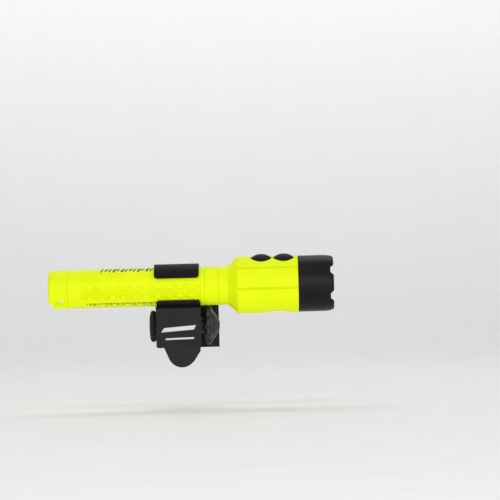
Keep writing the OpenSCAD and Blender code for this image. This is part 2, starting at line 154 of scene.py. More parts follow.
def grid_faces(rows, columns):
    """Quads of a grid that closes on itself both ways."""
    i, j = np.meshgrid(np.arange(rows), np.arange(columns), indexing="ij")
    below, beside = (i + 1) % rows, (j + 1) % columns
    quads = np.stack([i * columns + j, i * columns + beside, below * columns + beside,
                      below * columns + j], axis=2)
    return quads.reshape(-1, 4).tolist()


def prism(name, outline, low, high, place, bevel, segments):
    """An outline in the plane of the first two axes, raised from low to high, with soft edges."""
    count = len(outline)
    verts = [(p[0], p[1], low) for p in outline] + [(p[0], p[1], high) for p in outline]
    faces = [list(range(count))[::-1], [i + count for i in range(count)]]
    faces += [[i, (i + 1) % count, (i + 1) % count + count, i + count] for i in range(count)]
    piece = solid(name, verts, faces, place, 50)
    soften_edges(piece, bevel, segments)
    return piece


def soften_edges(piece, width, segments):
    """Bevels every edge that turns by more than 32 degrees."""
    bm = bmesh.new()
    bm.from_mesh(piece.data)
    edges = [e for e in bm.edges if e.is_manifold and e.calc_face_angle(0) > math.radians(32)]
    bmesh.ops.bevel(bm, geom=edges, offset=width * MM, segments=segments, profile=0.5,
                    affect="EDGES", clamp_overlap=True)
    bm.to_mesh(piece.data)
    bm.free()
    piece.data.polygons.foreach_set("use_smooth", [True] * len(piece.data.polygons))
    piece.data.set_sharp_from_angle(angle=math.radians(50))


def applied(piece):
    """Applies a piece's modifiers to its mesh."""
    graph = bpy.context.evaluated_depsgraph_get()
    mesh = bpy.data.meshes.new_from_object(piece.evaluated_get(graph))
    piece.modifiers.clear()
    piece.data = mesh
    return piece


def carved(piece, *cutters):
    """Cuts solids out of a piece, and removes them."""
    for cutter in cutters:
        cut = piece.modifiers.new("cut", "BOOLEAN")
        cut.operation = "DIFFERENCE"
        cut.solver = "EXACT"
        cut.object = cutter
        applied(piece)
        bpy.data.objects.remove(cutter)
    piece.data.polygons.foreach_set("use_smooth", [True] * len(piece.data.polygons))
    piece.data.set_sharp_from_angle(angle=math.radians(35))
    return piece


def joined(name, pieces):
    """One object from several, in place."""
    bm = bmesh.new()
    for piece in pieces:
        bm.from_mesh(piece.data)
    mesh = bpy.data.meshes.new(name)
    bm.to_mesh(mesh)
    bm.free()
    for piece in pieces:
        bpy.data.objects.remove(piece)
    return finished(name, mesh, sharp=50)


def moulded(name, node, voxel, rounds, keep=0.35):
    """A node's shape remade as one skin with soft edges; keep is the share of its faces kept."""
    mesh = frame["nodes"][node].data.copy()
    piece = bpy.data.objects.new(name, mesh)
    bpy.context.scene.collection.objects.link(piece)
    weld = piece.modifiers.new("weld", "WELD")
    weld.merge_threshold = 1e-6
    skin = piece.modifiers.new("skin", "REMESH")
    skin.mode = "VOXEL"
    skin.voxel_size = voxel * MM
    smooth = piece.modifiers.new("smooth", "SMOOTH")
    smooth.factor = 0.5
    smooth.iterations = rounds
    thin = piece.modifiers.new("thin", "DECIMATE")
    thin.ratio = keep
    applied(piece)
    piece.data.materials.clear()
    piece.data.polygons.foreach_set("use_smooth", [True] * len(piece.data.polygons))
    return piece


def helix(name, points, wire, place, sides):
    """A round wire along points in mm; wire is its radius."""
    path = np.array(points, float)
    tangent = np.gradient(path, axis=0)
    tangent /= np.linalg.norm(tangent, axis=1)[:, None]
    across = np.cross(tangent, [1.0, 0.0, 0.0])
    across /= np.linalg.norm(across, axis=1)[:, None]
    upward = np.cross(tangent, across)
    ring = np.linspace(0, 2 * math.pi, sides, endpoint=False)
    verts = (path[:, None] + wire * (np.cos(ring)[None, :, None] * across[:, None]
             + np.sin(ring)[None, :, None] * upward[:, None])).reshape(-1, 3)
    faces = [list(range(sides))[::-1], [len(verts) - sides + i for i in range(sides)]]
    for i in range(len(path) - 1):
        for j in range(sides):
            k = (j + 1) % sides
            faces.append([i * sides + j, i * sides + k, (i + 1) * sides + k, (i + 1) * sides + j])
    return solid(name, verts, faces, place, 60)


def smoothstep(low, high, value):
    """Rises smoothly from 0 at low to 1 at high."""
    t = np.clip((value - low) / (high - low), 0, 1)
    return t * t * (3 - 2 * t)


def angle_from(a, centre):
    """Signed angle in degrees from a centre angle in degrees."""
    return (np.degrees(a) - centre + 180) % 360 - 180


def put(piece, body, slot, material, *nodes):
    """Gives a piece its body and material, and lets it stand for its CAD nodes; slot is not used."""
    piece.data.materials.clear()
    piece.data.materials.append(material)
    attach(piece, body)
    if nodes:
        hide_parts(*nodes)
    return piece


# ------------------------------------------------------------------ materials

def shader(name):
    """A new material with its nodes, its shader and the object's own coordinates."""
    material = bpy.data.materials.new(name)
    material.use_nodes = True
    nodes = material.node_tree.nodes
    surface = nodes["Principled BSDF"]
    place = nodes.new("ShaderNodeTexCoord")
    return material, surface, place.outputs["Object"]


def noise(material, coords, scale, detail=4.0, rough=0.55):
    """A noise value from 0 to 1; scale is in features per metre."""
    texture = material.node_tree.nodes.new("ShaderNodeTexNoise")
    texture.inputs["Scale"].default_value = scale
    texture.inputs["Detail"].default_value = detail
    texture.inputs["Roughness"].default_value = rough
    material.node_tree.links.new(coords, texture.inputs["Vector"])
    return texture.outputs["Fac"]


def ramp(material, value, stops):
    """Colours along a value; stops are (position, colour)."""
    node = material.node_tree.nodes.new("ShaderNodeValToRGB")
    while len(node.color_ramp.elements) < len(stops):
        node.color_ramp.elements.new(0.5)
    for element, (position, colour) in zip(node.color_ramp.elements, stops):
        element.position = position
        element.color = (*colour, 1)
    material.node_tree.links.new(value, node.inputs["Fac"])
    return node.outputs["Color"]


def levels(material, value, low, high, from_low=0.3, from_high=0.7):
    """A value mapped onto a range."""
    node = material.node_tree.nodes.new("ShaderNodeMapRange")
    for name, number in (("From Min", from_low), ("From Max", from_high),
                         ("To Min", low), ("To Max", high)):
        node.inputs[name].default_value = number
    material.node_tree.links.new(value, node.inputs["Value"])
    return node.outputs["Result"]


def lighter_edges(material, amount):
    """A mask that is 1 on outward edges."""
    shape = material.node_tree.nodes.new("ShaderNodeNewGeometry")
    return levels(material, shape.outputs["Pointiness"], 0.0, amount, 0.52, 0.6)


def mixed(material, mask, first, second):
    """Blends a colour socket towards a plain colour by a mask."""
    node = material.node_tree.nodes.new("ShaderNodeMix")
    node.data_type = "RGBA"
    # The node has a factor and two inputs for each data type; these are the ones for colours.
    factor, from_colour, to_colour = node.inputs[0], node.inputs[6], node.inputs[7]
    material.node_tree.links.new(mask, factor)
    material.node_tree.links.new(first, from_colour)
    to_colour.default_value = (*second, 1)
    return node.outputs[2]


def bumped(material, surface, height, distance):
    """Raises a fine relief; distance is in mm."""
    node = material.node_tree.nodes.new("ShaderNodeBump")
    node.inputs["Strength"].default_value = 1.0
    node.inputs["Distance"].default_value = distance * MM
    links = material.node_tree.links
    links.new(height, node.inputs["Height"])
    links.new(node.outputs["Normal"], surface.inputs["Normal"])


def plastic(name, dark, light, rough, grain_mm, relief_mm, edge_tint=None, painted_glow=0.0, shine=0.5):
    """Moulded plastic: slight colour drift, a fine grain and, where given, lighter outward edges."""
    material, surface, coords = shader(name)
    links = material.node_tree.links
    drift = noise(material, coords, 60.0, 3.0)
    grain = noise(material, coords, 1 / (grain_mm * MM), 3.0, 0.6)
    colour = ramp(material, drift, [(0.3, dark), (0.7, light)])
    if edge_tint:
        # Outward edges, found by pointiness, are blended towards a lighter colour.
        colour = mixed(material, lighter_edges(material, edge_tint[1]), colour, edge_tint[0])
    links.new(colour, surface.inputs["Base Color"])
    links.new(levels(material, grain, rough - 0.06, rough + 0.08), surface.inputs["Roughness"])
    surface.inputs["Specular IOR Level"].default_value = shine
    bumped(material, surface, grain, relief_mm)
    # The emission is painted light: a constant glow that brightens the lime and flattens its shading,
    # standing in for the dye's fluorescence.
    if painted_glow:
        surface.inputs["Emission Color"].default_value = (*light, 1)
        surface.inputs["Emission Strength"].default_value = painted_glow
    return material


def metal(name, colour, rough, scratch=(900.0, 60.0, 60.0)):
    """Bare metal with fine lines; scratch stretches them along each axis."""
    material, surface, coords = shader(name)
    links = material.node_tree.links
    stretch = material.node_tree.nodes.new("ShaderNodeMapping")
    stretch.inputs["Scale"].default_value = scratch
    links.new(coords, stretch.inputs["Vector"])
    lines = noise(material, stretch.outputs["Vector"], 12.0, 5.0)
    darker = tuple(c * 0.82 for c in colour)
    links.new(ramp(material, lines, [(0.3, darker), (0.7, colour)]), surface.inputs["Base Color"])
    links.new(levels(material, lines, rough - 0.06, rough + 0.1), surface.inputs["Roughness"])
    surface.inputs["Metallic"].default_value = 1.0
    bumped(material, surface, lines, 0.004)
    return material


def clear_plastic():
    """Clear polycarbonate with a faint haze."""
    material, surface, coords = shader("clear_polycarbonate")
    surface.inputs["Base Color"].default_value = (0.97, 0.985, 0.99, 1)
    surface.inputs["Transmission Weight"].default_value = 1.0
    surface.inputs["IOR"].default_value = 1.5
    haze = noise(material, coords, 180.0, 4.0)
    material.node_tree.links.new(levels(material, haze, 0.01, 0.05), surface.inputs["Roughness"])
    return material


def chrome():
    """Bright plating with a slight orange peel."""
    material, surface, coords = shader("vacuum_chrome")
    links = material.node_tree.links
    peel = noise(material, coords, 900.0, 2.0)
    surface.inputs["Metallic"].default_value = 1.0
    tint = ramp(material, peel, [(0.3, (0.86, 0.87, 0.89)), (0.7, (0.95, 0.96, 0.97))])
    links.new(tint, surface.inputs["Base Color"])
    links.new(levels(material, peel, 0.05, 0.12), surface.inputs["Roughness"])
    bumped(material, surface, peel, 0.01)
    return material


def phosphor():
    """The LED's yellow phosphor."""
    material, surface, coords = shader("led_phosphor")
    links = material.node_tree.links
    grain = noise(material, coords, 6000.0, 2.0)
    tint = ramp(material, grain, [(0.3, (0.80, 0.62, 0.12)), (0.7, (0.92, 0.78, 0.25))])
    links.new(tint, surface.inputs["Base Color"])
    links.new(levels(material, grain, 0.35, 0.5), surface.inputs["Roughness"])
    return material


def circuit_board():
    """Green board with lighter tracks and a glossy mask."""
    material, surface, coords = shader("circuit_board")
    nodes, links = material.node_tree.nodes, material.node_tree.links
    cells = nodes.new("ShaderNodeTexVoronoi")
    cells.distance = "CHEBYCHEV"
    cells.feature = "F1"
    cells.inputs["Scale"].default_value = 420.0
    links.new(coords, cells.inputs["Vector"])
    tracks = ramp(material, cells.outputs["Distance"], [
        (0.30, (0.006, 0.085, 0.035)), (0.34, (0.012, 0.16, 0.06)),
        (0.42, (0.012, 0.16, 0.06)), (0.46, (0.006, 0.085, 0.035))])
    links.new(tracks, surface.inputs["Base Color"])
    grain = noise(material, coords, 2500.0, 2.0)
    links.new(levels(material, grain, 0.28, 0.42), surface.inputs["Roughness"])
    bumped(material, surface, cells.outputs["Distance"], 0.02)
    return material


def cell_wrap():
    """A battery's shrink sleeve: black body with one copper-coloured band near its nub."""
    material, surface, coords = shader("cell_wrap")
    nodes, links = material.node_tree.nodes, material.node_tree.links
    split = nodes.new("ShaderNodeSeparateXYZ")
    links.new(coords, split.inputs["Vector"])
    wrap = nodes.new("ShaderNodeMath")
    wrap.operation = "WRAP"
    first, last = along("aa_cell_rear")
    wrap.inputs[1].default_value = last * MM
    wrap.inputs[2].default_value = first * MM
    links.new(split.outputs["X"], wrap.inputs[0])
    share = levels(material, wrap.outputs["Value"], 0.0, 1.0, first * MM, last * MM)
    colour = ramp(material, share, [(0.0, (0.012, 0.012, 0.014)), (0.73, (0.012, 0.012, 0.014)),
                                    (0.735, (0.45, 0.2, 0.06)), (0.97, (0.5, 0.23, 0.08)),
                                    (0.975, (0.6, 0.6, 0.6))])
    links.new(colour, surface.inputs["Base Color"])
    grain = noise(material, coords, 700.0, 3.0)
    links.new(levels(material, grain, 0.22, 0.34), surface.inputs["Roughness"])
    return material


def ribbed_rubber():
    """The helmet pad's rubber, with fine moulded ribs both ways."""
    material, surface, coords = shader("ribbed_rubber")
    nodes, links = material.node_tree.nodes, material.node_tree.links
    heights = []
    for axis in ("X", "Z"):
        ribs = nodes.new("ShaderNodeTexWave")
        ribs.bands_direction = axis
        ribs.inputs["Scale"].default_value = 110.0
        links.new(coords, ribs.inputs["Vector"])
        heights.append(ribs.outputs["Fac"])
    both = nodes.new("ShaderNodeMath")
    both.operation = "MULTIPLY"
    links.new(heights[0], both.inputs[0])
    links.new(heights[1], both.inputs[1])
    # The colour follows the ribs' height and is darker in their troughs: painted shade.
    dark, light = (0.006, 0.006, 0.006), (0.016, 0.016, 0.016)
    tint = ramp(material, both.outputs["Value"], [(0.2, dark), (0.7, light)])
    links.new(tint, surface.inputs["Base Color"])
    grain = noise(material, coords, 2500.0, 3.0)
    links.new(levels(material, grain, 0.55, 0.75), surface.inputs["Roughness"])
    surface.inputs["Specular IOR Level"].default_value = 0.25
    bumped(material, surface, both.outputs["Value"], 0.35)
    return material


def ink(name, dark, light):
    """Printed ink with fine specks."""
    material, surface, coords = shader(name)
    links = material.node_tree.links
    speck = noise(material, coords, 3500.0, 3.0)
    links.new(ramp(material, speck, [(0.35, dark), (0.6, light)]), surface.inputs["Base Color"])
    links.new(levels(material, speck, 0.4, 0.6), surface.inputs["Roughness"])
    return material


# The lime materials carry a painted glow (emission) on top of their colour.
LIME = plastic("lime_nylon", (0.69, 0.815, 0.0), (0.745, 0.875, 0.001), 0.5, 0.35, 0.012,
               painted_glow=0.19, shine=0.15)
# A darker copy of the lime for the grip recesses: painted shade, with a rougher finish.
LIME_GRIP_PAINTED_SHADE = plastic("lime_nylon_grip_painted_shade", (0.635, 0.75, 0.0), (0.69, 0.81, 0.001), 0.6, 0.45, 0.02,
                    painted_glow=0.19, shine=0.1)
# A darker copy of the lime for the head's grooves: painted shade.
LIME_GROOVE_PAINTED_SHADE = plastic("lime_nylon_groove_painted_shade", (0.60, 0.71, 0.0), (0.65, 0.765, 0.001), 0.6, 0.35, 0.012,
                   painted_glow=0.16, shine=0.1)
BLACK = plastic("black_nylon", (0.009, 0.009, 0.0095), (0.012, 0.012, 0.0125), 0.46, 0.30, 0.014,
                edge_tint=((0.05, 0.05, 0.052), 0.6), shine=0.17)
JAW = plastic("black_clip", (0.006, 0.006, 0.0065), (0.009, 0.009, 0.0095), 0.5, 0.30, 0.014,
              edge_tint=((0.04, 0.04, 0.042), 0.6), shine=0.09)
# The knob's lighter base colour is painted light, brightening a part that sits in the light's shadow.
KNOB = plastic("black_knob", (0.012, 0.012, 0.0125), (0.016, 0.016, 0.0165), 0.4, 0.30, 0.01,
               edge_tint=((0.05, 0.05, 0.052), 0.6), shine=0.4)
BEZEL = plastic("black_bezel", (0.006, 0.006, 0.0065), (0.009, 0.009, 0.0095), 0.38, 0.22, 0.006,
                edge_tint=((0.05, 0.05, 0.052), 0.5), shine=0.15)
RUBBER = plastic("black_rubber", (0.007, 0.007, 0.007), (0.011, 0.011, 0.011), 0.62, 0.25, 0.02,
                 shine=0.15)
CLEAR = clear_plastic()
CHROME = chrome()
ALUMINIUM = metal("aluminium", (0.78, 0.79, 0.81), 0.32)
STEEL = metal("plated_steel", (0.62, 0.63, 0.65), 0.26, (500.0, 80.0, 80.0))
BRASS = metal("brass", (0.80, 0.58, 0.25), 0.28)
PHOSPHOR = phosphor()
BOARD = circuit_board()
WRAP = cell_wrap()
PAD = ribbed_rubber()
DARK_INK = ink("dark_ink", (0.02, 0.024, 0.004), (0.05, 0.06, 0.008))
FINE_INK = ink("fine_ink", (0.12, 0.15, 0.008), (0.22, 0.27, 0.012))
WHITE_INK = ink("white_ink", (0.55, 0.55, 0.55), (0.82, 0.82, 0.82))


# ------------------------------------------------------------------ light: handle

GRIP_FROM, GRIP_TO = -69.4, 10.1    # stations of the grip panels' ends
GRIP_PITCH = 7.48                   # from tooth to tooth
GRIP_DEPTH = 0.55


def grip_recess(x, a):
    """1 inside the grip panels of both sides; their long edges step in and out like teeth."""
    off = np.abs(np.abs(angle_from(a, 0.0)) - 90.0)
    notch = (x - (GRIP_FROM + 1.9) + GRIP_PITCH / 2) % GRIP_PITCH - GRIP_PITCH / 2
    half = 11.0 + 11.5 * (1 - smoothstep(1.75, 2.35, np.abs(notch)))
    inside = 1 - smoothstep(half - 1.4, half + 1.4, off)
    begun = smoothstep(GRIP_FROM - 0.2, GRIP_FROM + 0.4, x)
    over = smoothstep(GRIP_TO - 0.4, GRIP_TO + 0.2, x)
    return inside * begun * (1 - over)


def handle():
    """The tube, with a thread well at its back, an O-ring groove in its spigot and the grip panels."""
    back, front = along("handle_tube")
    shoulder = along("neck_collar")[0] - 0.3
    radius = girth("handle_tube")
    plug = in_light("tail_cap")[1][0] + 2.0
    spigot, bore, well = 11.2, 9.4, 10.9
    groove_from, groove_to, groove_floor = 25.0, 26.8, 10.1
    outline = rounded([
        (back, well, 0.1), (back, radius, 0.45), (shoulder, radius, 0.3), (shoulder, spigot, 0.1),
        (groove_from, spigot, 0.1), (groove_from, groove_floor, 0.05),
        (groove_to, groove_floor, 0.05), (groove_to, spigot, 0.1),
        (front, spigot, 0.5), (front, bore, 0.3), (plug, bore, 0.3), (plug, well, 0.1)], 0.2)
    ring_x = GRIP_FROM - 1.8

    def skin(x, r, a):
        outer = r > radius - 0.05
        ring = 0.16 * np.exp(-((x - ring_x) / 0.32) ** 2)
        return x, r - outer * (GRIP_DEPTH * grip_recess(x, a) + ring)

    tube = lathe("handle", divided(outline, 0.45), around=360, warp=skin)
    put(tube, "light", "lime_nylon", LIME, "handle_tube")
    # Faces inside the grip recesses take the darker copy of the lime: painted shade.
    tube.data.materials.append(LIME_GRIP_PAINTED_SHADE)
    inverse = LIGHT.inverted()
    for face in tube.data.polygons:
        x, y, z = (inverse @ face.center) / MM
        deep = radius - math.hypot(y, z)
        if 0.3 * GRIP_DEPTH < deep < 0.8 and grip_recess(x, math.atan2(-y, z)) > 0.3:
            face.material_index = 1


def patch(x_from, x_to, a_from, a_to, radius, slant=0.0, rows=3, columns=9):
    """Vertices and faces of a thin curved patch on a cylinder; slant shifts its far edge in X."""
    u, v = np.meshgrid(np.linspace(0, 1, rows), np.linspace(0, 1, columns), indexing="ij")
    x = x_from + (x_to - x_from) * u + slant * v
    a = np.radians(a_from + (a_to - a_from) * v)
    layers = [np.stack([x, -r * np.sin(a), r * np.cos(a)], axis=2).reshape(-1, 3)
              for r in (radius + 0.03, radius - 0.06)]
    count = rows * columns
    faces = []
    for i in range(rows - 1):
        for j in range(columns - 1):
            here, ahead = i * columns + j, (i + 1) * columns + j
            quad = [here, here + 1, ahead + 1, ahead]
            faces += [quad, [k + count for k in quad[::-1]]]
    edge = (list(range(columns)) + [i * columns + columns - 1 for i in range(1, rows)]
            + [(rows - 1) * columns + j for j in range(columns - 2, -1, -1)]
            + [i * columns for i in range(rows - 2, 0, -1)])
    faces += [[p, p + count, q + count, q] for p, q in zip(edge, edge[1:] + edge[:1])]
    return np.concatenate(layers), faces


def patches(name, specs, radius):
    """One object from several patches given as (x_from, x_to, a_from, a_to, slant)."""
    verts, faces, start = [], [], 0
    for x_from, x_to, a_from, a_to, slant in specs:
        v, f = patch(x_from, x_to, a_from, a_to, radius, slant)
        verts.append(v)
        faces += [[i + start for i in face] for face in f]
        start += len(v)
    return solid(name, np.concatenate(verts), faces, LIGHT, 60)


def handle_marks():
    """A row of slanted bars along the top and two rows of fine dashes below, with no lettering."""
    radius = girth("handle_tube")
    bar_count, bar_from, bar_pitch, bar_slant = 13, -54.8, 2.72, -2.2
    bars = []
    for i in range(bar_count):
        x = bar_from + i * bar_pitch
        width = 1.15 + 0.5 * (i % 2)
        foot = 17.5 - 5.0 * (i % 3 == 1)
        bars.append((x, x + width, -15.5, foot, bar_slant))
    put(patches("top_bars", bars, radius), "light", "black_nylon", DARK_INK)
    dashes_from, dashes_to, gap = -66.0, -19.5, 0.55
    dashes = []
    x = dashes_from
    i = 0
    while x <= dashes_to:
        length = 0.9 + 1.5 * ((i * 7) % 5) / 4
        dashes.append((x, x + length, 124.0, 128.5, 0.0))
        if i % 4:
            dashes.append((x + 0.4, x + length, 131.0, 135.0, 0.0))
        x += length + gap
        i += 1
    put(patches("fine_dashes", dashes, radius), "light", "black_nylon", FINE_INK)


NECK_BORE = 11.25       # radius of the collar's bore and of the head's back end


def collar():
    """The ring between handle and head, with one fine groove."""
    back, front = along("neck_collar")
    radius = girth("neck_collar")
    outline = rounded([
        (back, NECK_BORE), (back, radius, 0.3), (front, radius, 0.3), (front, NECK_BORE)], 0.1)

    def skin(x, r, a):
        groove = 0.10 * np.exp(-((x - back - 1.2) / 0.3) ** 2)
        return x, r - (r > radius - 0.05) * groove

    ring = lathe("collar", divided(outline, 0.3), around=224, warp=skin)
    put(ring, "collar", "lime_nylon", LIME, "neck_collar")


# ------------------------------------------------------------------ light: head

RIBS = (37.5, 82.5, -37.5, -82.5)   # angles of the head's long grooves
RIB_DEPTH = 0.8


def head():
    """The flared shell, with its grooves, button holes and flood dish."""
    start = along("neck_collar")[1] + 0.2
    spigot_end = along("head_housing")[1]
    front = along("bezel")[0] - 0.2
    radius = girth("head_housing")
    neck = girth("neck_collar")
    flare = start + 6.4
    flare_end = flare + radius - neck
    spigot, mouth, chamber = 16.8, 15.2, 16.4
    chamber_from, neck_to = 37.0, 33.0
    groove_from, groove_to, groove_floor = 76.2, 77.8, 15.9
    outline = rounded([
        (start, NECK_BORE), (start, neck, 0.3), (flare, neck, 1.2), (flare_end, radius, 1.5),
        (front, radius, 0.35), (front, spigot, 0.1), (groove_from, spigot, 0.1),
        (groove_from, groove_floor, 0.05), (groove_to, groove_floor, 0.05), (groove_to, spigot, 0.1),
        (spigot_end, spigot, 0.4), (spigot_end, mouth, 0.3), (front, mouth, 0.3),
        (front - 1.2, chamber, 0.5), (chamber_from, chamber, 2.0), (neck_to, NECK_BORE, 0.5)], 0.2)

    def skin(x, r, a):
        outer = (r > neck + 0.1) & (x < front + 0.05) & (x > flare - 1)
        outer &= r >= np.minimum(radius, neck + (x - flare)) - 0.7
        depth = np.zeros_like(x)
        for rib in RIBS:
            across = np.radians(angle_from(a, rib)) * radius
            depth = np.maximum(depth, RIB_DEPTH * (1 - smoothstep(0.35, 1.0, np.abs(across))))
        fade = smoothstep(flare_end - 1.4, flare_end + 0.9, x)
        return x, r - outer * depth * fade

    shell = lathe("head", divided(outline, 0.8), around=360, warp=skin)
    cutters = [button_cutter(node) for node in ("button_rear", "button_front")]
    carved(shell, *cutters, flood_cutter())
    shell = put(joined("head", [shell, flood_floor()]), "light", "lime_nylon", LIME, "head_housing")
    shade_ribs(shell, radius, flare_end, front)


def shade_ribs(shell, radius, first, last):
    """Gives the faces inside the grooves the darker lime copy: painted shade."""
    shell.data.materials.append(LIME_GROOVE_PAINTED_SHADE)
    inverse = LIGHT.inverted()
    for face in shell.data.polygons:
        x, y, z = (inverse @ face.center) / MM
        deep = radius - math.hypot(y, z)
        angle = math.atan2(-y, z)
        near = min(abs(angle_from(angle, rib)) for rib in RIBS)
        if first < x < last - 0.3 and 0.15 < deep < RIB_DEPTH + 0.15 and near < 3.2:
            face.material_index = 1


def upright(x, turn=0.0):
    """Placement for a part revolved about the head's local Z, whose own axis is drawn along X."""
    return (LIGHT @ Matrix.Rotation(turn, 4, "X") @ Matrix.Translation((x * MM, 0, 0))
            @ Matrix.Rotation(-math.pi / 2, 4, "Y"))


def button_cutter(node):
    """The waste of a button's hole and the dished rim around it."""
    low, high = in_light(node)
    centre = (low[0] + high[0]) / 2
    rim = girth("head_housing")
    hole = (high[0] - low[0]) / 2 + 0.4
    outline = [(12.0, 0.0), (12.0, hole), (rim - 1.5, hole), (rim - 0.75, hole + 0.12),
               (rim - 0.2, hole + 0.7), (rim + 3.0, hole + 4.0), (rim + 3.0, 0.0)]
    return lathe("cutter", rounded(outline, 0.3), upright(centre), around=96)


FLOOD_DISH, FLOOD_HOLE = 11.4, 6.6      # radii of the flood lamp's dish and lens hole


def flood_cutter():
    """The dish around the flood lens, cut right through the head's wall."""
    low, high = in_light("flood_lens")
    centre = (low[0] + high[0]) / 2
    face = 0.2 - low[2]
    outline = [(8.0, 0.0), (8.0, FLOOD_DISH), (face, FLOOD_DISH), (face + 2.2, FLOOD_DISH + 0.4),
               (face + 6.0, FLOOD_DISH + 1.2), (face + 6.0, 0.0)]
    return lathe("cutter", outline, upright(centre, math.pi), around=120)


def flood_floor():
    """The dish's floor, with the lens hole and the collar behind it."""
    low, high = in_light("flood_lens")
    centre = (low[0] + high[0]) / 2
    face = 0.2 - low[2]
    back = face - 1.6
    outline = rounded([
        (face - 3.9, FLOOD_HOLE, 0.1), (face - 3.9, FLOOD_HOLE + 1.6, 0.2), (back, FLOOD_HOLE + 1.6, 0.3),
        (back, FLOOD_DISH + 0.25, 0.1), (face - 0.02, FLOOD_DISH + 0.02, 0.05),
        (face - 0.05, FLOOD_HOLE + 0.9, 0.3), (face - 0.45, FLOOD_HOLE, 0.2)], 0.1)
    return lathe("floor", divided(outline, 0.6), upright(centre, math.pi), around=120)


def bezel():
    """The crowned ring, with six square notches in its rim."""
    back, rim = along("bezel")
    radius = girth("bezel")
    lens_front = along("lens")[1]
    seat = along("head_housing")[1] + 0.6
    bore, lens_hole = 16.85, 16.3
    outline = rounded([
        (back, bore, 0.1), (back, radius, 0.4), (rim - 6, radius, 1.0), (rim - 1.2, radius - 0.35, 0.15),
        (rim - 0.05, radius - 1.1, 0.2), (rim, 17.2, 0.3), (lens_front + 0.4, 15.2, 0.3),
        (lens_front + 0.1, 15.2, 0.1), (lens_front + 0.1, lens_hole, 0.1), (seat, lens_hole, 0.1),
        (seat, bore, 0.1)], 0.2)
    half_width, depth, first, soft = 4.1, 2.25, 44.0, 0.25

    def crown(x, r, a):
        turn = (np.degrees(a) - first + 30) % 60 - 30
        across = np.abs(r * np.sin(np.radians(turn)))
        cut = np.clip(half_width - across, 0, depth)
        cut = np.where(cut < soft, cut * cut / (2 * soft), cut - soft / 2)
        share = np.clip((x - (rim - 3.6)) / 3.6, 0, 1)
        share = np.where(r > lens_hole + 0.6, share, np.clip((x - (rim - 3.2)) / 3.2, 0, 1))
        return x - share * cut, r

    crown_ring = lathe("bezel_crown", divided(outline, 0.5), around=540, warp=crown, sharp=32)
    put(crown_ring, "light", "black_bezel", BEZEL, "bezel")


def button(node, body, name):
    """A domed rubber key with a raised ring and a shallow dimple."""
    low, high = in_light(node)
    centre = (low[0] + high[0]) / 2
    radius = (high[0] - low[0]) / 2
    top = high[2]
    rim = girth("head_housing") - 1.1
    outline = [(low[2], 0.0), (low[2], 2.5), (low[2] + 0.7, 2.5), (low[2] + 0.7, radius), (rim, radius)]
    for t in np.linspace(0.06, 1, 26):
        r = radius * math.cos(t * math.pi / 2)
        ridge = 0.12 * math.exp(-((r - 4.0) / 0.35) ** 2)
        dimple = 0.25 * (1 - smoothstep(1.2, 3.2, r))
        outline.append((rim + (top - rim) * math.sin(t * math.pi / 2) ** 1.1 + ridge - dimple, r))
    cap = lathe(name, outline, upright(centre), around=96)
    put(cap, body, "black_rubber", RUBBER, node)


# ------------------------------------------------------------------ light: optics

def optics():
    """Front lens, gasket, reflector, LED and flood lamp."""
    back, front = along("lens")
    radius = girth("lens")
    dome = rounded([(back, 0.0, 0), (back, radius, 0.25), (front, radius, 0.25), (front, 0.0, 0)], 0.2)
    put(lathe("front_lens", divided(dome, 1.5), around=128), "light", "clear_lens", CLEAR, "lens")
    gasket_back, gasket_front = along("lens_gasket")
    ring = rounded([(gasket_back, 15.3), (gasket_back, radius), (gasket_front, radius),
                    (gasket_front, 15.3)], 0.15)
    put(lathe("front_gasket", ring, around=128), "light", "black_rubber", RUBBER, "lens_gasket")
    reflector()
    led()
    flood()


def reflector():
    """A parabolic dish with its focus in the LED."""
    focal, wall, lip = 3.74, 1.0, 0.9
    led_x = along("main_led")[0] + 0.5
    first, mouth = along("reflector")
    rim = girth("reflector")
    stations = np.linspace(0, 1, 40) ** 1.6 * (mouth - first) + first
    dish = [(x, math.sqrt(4 * focal * (x - led_x + focal))) for x in stations]
    edge = dish[-1][1]
    shell = dish + [(mouth, edge + 0.25), (mouth, rim), (mouth - lip, rim), (mouth - lip, edge + wall)]
    shell += [(x, r + wall) for x, r in dish[-5::-5]]
    bowl = lathe("reflector_dish", shell, around=144, sharp=30)
    put(bowl, "light", "reflector_chrome", CHROME, "reflector")


def led():
    """Ceramic base, phosphor square and silicone dome."""
    face = along("main_led")[1] - 1.5
    half, dome_radius = 1.7, 1.45
    square = [(-half, -half), (half, -half), (half, half), (-half, half)]
    turn = LIGHT @ Matrix.Rotation(math.pi / 2, 4, "Y")
    base = prism("led_base", rounded(square, 0.2), face - 0.5, face, turn, 0.06, 2)
    put(base, "light", "led_phosphor", PHOSPHOR, "main_led")
    dome = [(face, 0.0)] + [(face + dome_radius * math.sin(t), dome_radius * math.cos(t))
                            for t in np.linspace(0, math.pi / 2, 14)]
    put(lathe("led_dome", dome, around=48), "light", "clear_lens", CLEAR)


def flood():
    """The flood lamp's slightly domed window and its gasket."""
    low, high = in_light("flood_lens")
    centre = (low[0] + high[0]) / 2
    face, back = -low[2], -high[2]
    radius, crown = 6.45, 0.25
    outline = [(back, 0.0), (back, radius)] + [
        (face - 0.02 - crown * (1 - math.cos(t)), radius * math.sin(t))
        for t in np.linspace(math.pi / 2, 0, 12)]
    lens = lathe("flood_window", outline, upright(centre, math.pi), around=96)
    put(lens, "light", "clear_lens", CLEAR, "flood_lens")
    ring = rounded([(back - 0.8, 5.5), (back - 0.8, 6.5), (back, 6.5), (back, 5.5)], 0.15)
    gasket = lathe("flood_ring", ring, upright(centre, math.pi), around=96)
    put(gasket, "light", "black_rubber", RUBBER, "flood_gasket")


# ------------------------------------------------------------------ light: tail

